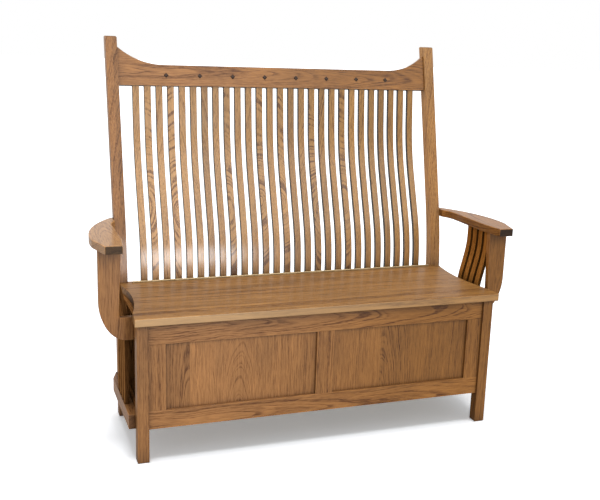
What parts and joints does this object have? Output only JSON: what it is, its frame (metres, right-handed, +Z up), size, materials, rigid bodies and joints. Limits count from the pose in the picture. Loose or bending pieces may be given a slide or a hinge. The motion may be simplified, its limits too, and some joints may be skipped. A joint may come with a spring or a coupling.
{
  "type": "mission settle",
  "caption": "High-back slatted hall settle: S-bent back slats between curved raked posts, swept crest, paddle arms on J supports, and a seat plank that lifts as the lid of a panelled chest",
  "frame": {"origin": "on the floor, below the middle of the overall bounding box", "axes": "X along the length of the settle, positive to the right as seen from the front; Y from the front to the back; Z up"},
  "size_m": [1.3904, 0.6098, 1.236],
  "materials": {
    "oak_frame": "honey-brown stained oak, satin lacquer",
    "oak_slats": "honey-brown stained oak, satin lacquer, tone varies from slat to slat",
    "oak_seat": "honey-brown stained oak, polished by use",
    "oak_arms": "honey-brown stained oak, satin lacquer, darker end grain",
    "oak_panels": "stained oak with upright figure, satin lacquer",
    "dark_pegs": "dark stained hardwood, satin",
    "secondary_wood": "plain sawn wood, matt",
    "hinge_metal": "plain brass, slightly dulled"
  },
  "bodies": {
    "frame": {"back_slat_01": "oak_slats", "back_slat_02": "oak_slats", "back_slat_03": "oak_slats", "back_slat_04": "oak_slats", "back_slat_05": "oak_slats", "back_slat_06": "oak_slats", "back_slat_07": "oak_slats", "back_slat_08": "oak_slats", "back_slat_09": "oak_slats", "back_slat_10": "oak_slats", "back_slat_11": "oak_slats", "back_slat_12": "oak_slats", "back_slat_13": "oak_slats", "back_slat_14": "oak_slats", "back_slat_15": "oak_slats", "back_slat_16": "oak_slats", "back_slat_17": "oak_slats", "back_slat_18": "oak_slats", "back_slat_19": "oak_slats", "back_slat_20": "oak_slats", "back_slat_21": "oak_slats", "back_slat_22": "oak_slats", "back_slat_23": "oak_slats", "back_slat_24": "oak_slats", "back_slat_25": "oak_slats", "back_slat_26": "oak_slats", "back_slat_27": "oak_slats", "rear_post_left": "oak_frame", "front_leg_left": "oak_frame", "arm_left": "oak_arms", "arm_support_left": "oak_arms", "side_slats_left": "oak_slats", "slat_shelf_left": "oak_frame", "rear_post_right": "oak_frame", "front_leg_right": "oak_frame", "arm_right": "oak_arms", "arm_support_right": "oak_arms", "side_slats_right": "oak_slats", "slat_shelf_right": "oak_frame", "crest_rail": "oak_frame", "crest_pegs": "dark_pegs", "slat_rail": "oak_frame", "hinge_rail": "oak_frame", "back_bottom_rail": "oak_frame", "back_panel": "secondary_wood", "front_top_rail": "oak_frame", "front_bottom_rail": "oak_frame", "front_stiles": "oak_frame", "front_muntin": "oak_frame", "front_panels": "oak_panels", "side_top_rails": "oak_frame", "side_bottom_rails": "oak_frame", "side_panels": "oak_panels", "chest_floor": "secondary_wood", "floor_cleats": "secondary_wood", "hinge_leaf_fixed": "hinge_metal", "hinge_pin": "hinge_metal"},
    "lid": {"seat_lid": "oak_seat", "lid_battens": "secondary_wood", "hinge_leaf_lid": "hinge_metal"}
  },
  "joints": [
    {"name": "seat_hinge", "type": "hinge", "parent": "frame", "child": "lid", "pos_m": [0, 0.09342, 0.45985], "axis": [-1, 0, 0], "range_deg": [0, 96]}
  ]
}
